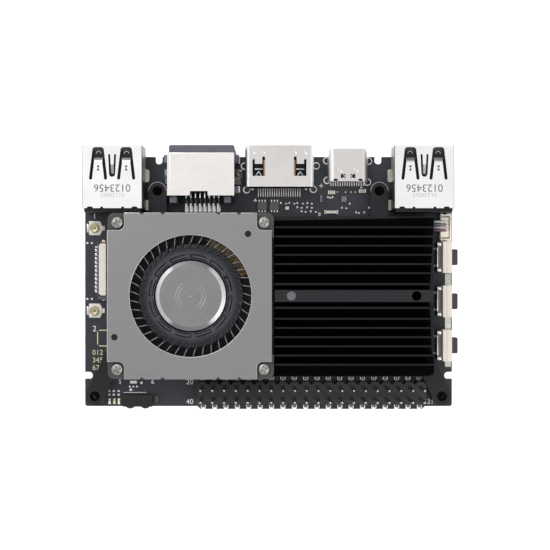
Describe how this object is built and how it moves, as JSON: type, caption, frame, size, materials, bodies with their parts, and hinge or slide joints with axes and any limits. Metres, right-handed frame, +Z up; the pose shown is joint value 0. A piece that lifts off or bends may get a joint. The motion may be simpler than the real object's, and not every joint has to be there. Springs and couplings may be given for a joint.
{
  "type": "single board computer",
  "caption": "Palm-sized single board computer: black circuit board with edge connectors, pin header, side buttons, black finned heatsink and a square blower fan.",
  "frame": {"origin": "centre of the board's main rectangle, on its underside", "axes": "+X across the width to the side with the buttons, +Y to the edge with the large connectors, +Z up out of the fan"},
  "size_m": [0.0829, 0.0583, 0.0138],
  "materials": {
    "board_mask": "satin black solder mask",
    "shell_steel": "bright satin plating",
    "black_plastic": "matte",
    "contact_gold": "thin gold plating",
    "grey_plastic": "matte dark grey",
    "pin_metal": "pale gold plating",
    "cream_plastic": "matte cream",
    "wire_sleeve": "soft vinyl",
    "button_plastic": "matte dark grey",
    "led_resin": "clear",
    "receiver_resin": "gloss dark",
    "chip_resin": "matte",
    "module_can": "satin",
    "thermal_pad": "soft",
    "anodised_black": "black anodised",
    "screw_steel": "plated",
    "fan_plastic": "matte",
    "cover_aluminium": "brushed satin",
    "impeller_plastic": "satin dark grey",
    "rotor_steel": "turned, bright edge",
    "magnet": "dull",
    "bearing_bronze": "plain",
    "winding_copper": "enamelled",
    "circuit_film": "amber film",
    "ceramic": "matte ceramic"
  },
  "bodies": {
    "board_assembly": {"board": "board_mask", "usb_left_shell": "shell_steel", "usb_left_insulator": "black_plastic", "usb_left_contacts": "contact_gold", "usb_right_shell": "shell_steel", "usb_right_insulator": "black_plastic", "usb_right_contacts": "contact_gold", "ethernet_housing": "grey_plastic", "ethernet_shell": "shell_steel", "ethernet_contacts": "contact_gold", "hdmi_shell": "shell_steel", "hdmi_insulator": "black_plastic", "hdmi_contacts": "contact_gold", "usb_c_shell": "shell_steel", "usb_c_insulator": "black_plastic", "usb_c_contacts": "contact_gold", "header_body": "black_plastic", "header_pins": "pin_metal", "ribbon_socket_body": "grey_plastic", "ribbon_socket_contacts": "contact_gold", "antenna_bases": "cream_plastic", "antenna_rings": "contact_gold", "fan_socket": "cream_plastic", "fan_plug": "cream_plastic", "fan_wires": "wire_sleeve", "power_switch_body": "cream_plastic", "power_switch_cover": "shell_steel", "function_switch_body": "cream_plastic", "function_switch_cover": "shell_steel", "reset_switch_body": "cream_plastic", "reset_switch_cover": "shell_steel", "switch_domes": "shell_steel", "status_leds": "led_resin", "infrared_receiver": "receiver_resin", "processor": "chip_resin", "memory_chips": "chip_resin", "power_chips": "chip_resin", "wireless_module": "module_can", "thermal_pads": "thermal_pad", "heatsink": "anodised_black", "heatsink_pin": "screw_steel", "fan_frame": "fan_plastic", "fan_cover": "cover_aluminium", "fan_screws": "screw_steel", "fan_bearing": "bearing_bronze", "stator_core": "magnet", "stator_coils": "winding_copper", "fan_circuit": "circuit_film", "small_parts_top": "ceramic", "m2_socket": "black_plastic", "card_socket": "module_can", "small_parts_bottom": "chip_resin"},
    "impeller": {"impeller": "impeller_plastic", "rotor_cap": "rotor_steel", "rotor_magnet": "magnet", "rotor_shaft": "rotor_steel"},
    "power_button": {"power_button": "button_plastic"},
    "function_button": {"function_button": "button_plastic"},
    "reset_button": {"reset_button": "button_plastic"},
    "ribbon_latch": {"ribbon_latch": "cream_plastic"}
  },
  "joints": [
    {"name": "impeller_spin", "type": "hinge", "parent": "board_assembly", "child": "impeller", "pos_m": [-0.0168, -0.00308, 0.0072], "axis": [0, 0, 1], "continuous": true},
    {"name": "power_press", "type": "slide", "parent": "board_assembly", "child": "power_button", "axis": [-1, 0, 0], "range_m": [0, 0.00025], "stiffness_N_per_m": 2400, "springref_m": -0.0003},
    {"name": "function_press", "type": "slide", "parent": "board_assembly", "child": "function_button", "axis": [-1, 0, 0], "range_m": [0, 0.00025], "stiffness_N_per_m": 2400, "springref_m": -0.0003},
    {"name": "reset_press", "type": "slide", "parent": "board_assembly", "child": "reset_button", "axis": [-1, 0, 0], "range_m": [0, 0.00025], "stiffness_N_per_m": 2400, "springref_m": -0.0003},
    {"name": "ribbon_latch_flip", "type": "hinge", "parent": "board_assembly", "child": "ribbon_latch", "pos_m": [-0.03635, 0.0027, 0.00192], "axis": [0, 1, 0], "range_deg": [0, 90]}
  ]
}
